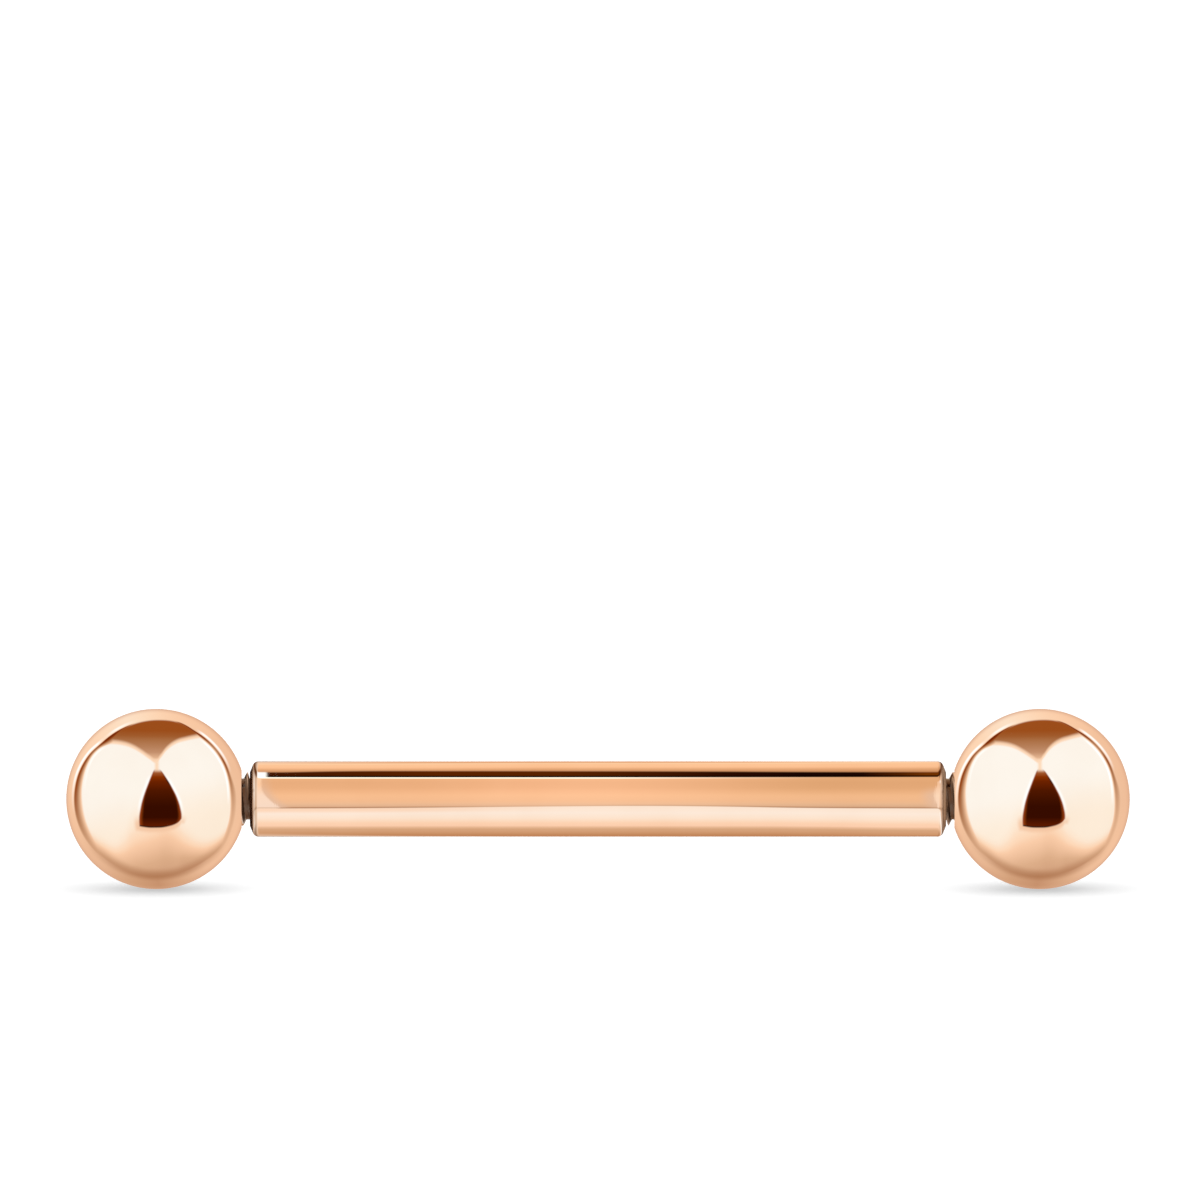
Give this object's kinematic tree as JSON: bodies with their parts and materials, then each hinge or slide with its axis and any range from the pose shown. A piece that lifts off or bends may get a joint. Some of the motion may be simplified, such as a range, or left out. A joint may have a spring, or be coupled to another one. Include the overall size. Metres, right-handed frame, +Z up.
{
  "type": "straight nipple barbell",
  "caption": "Straight body jewellery barbell: a plain round bar with a threaded stub at each end and a ball screwed onto each stub, in rose gold coated metal.",
  "frame": {"origin": "on the surface that the two balls rest on, below the middle of the bar", "axes": "+X along the bar towards the right ball, +Z up, +Y away from the viewer"},
  "size_m": [0.023, 0.0038, 0.0039],
  "materials": {
    "rose_gold": "mirror-polished steel with a thin rose gold coating; the threads inside the balls are bare steel"
  },
  "bodies": {
    "bar": {"bar": "rose_gold"},
    "ball_left": {"ball_left": "rose_gold"},
    "ball_right": {"ball_right": "rose_gold"}
  },
  "joints": [
    {"name": "ball_left_off", "type": "slide", "parent": "bar", "child": "ball_left", "axis": [-1, 0, 0], "range_m": [0, 0.0035]},
    {"name": "ball_right_off", "type": "slide", "parent": "bar", "child": "ball_right", "axis": [1, 0, 0], "range_m": [0, 0.0035]}
  ]
}
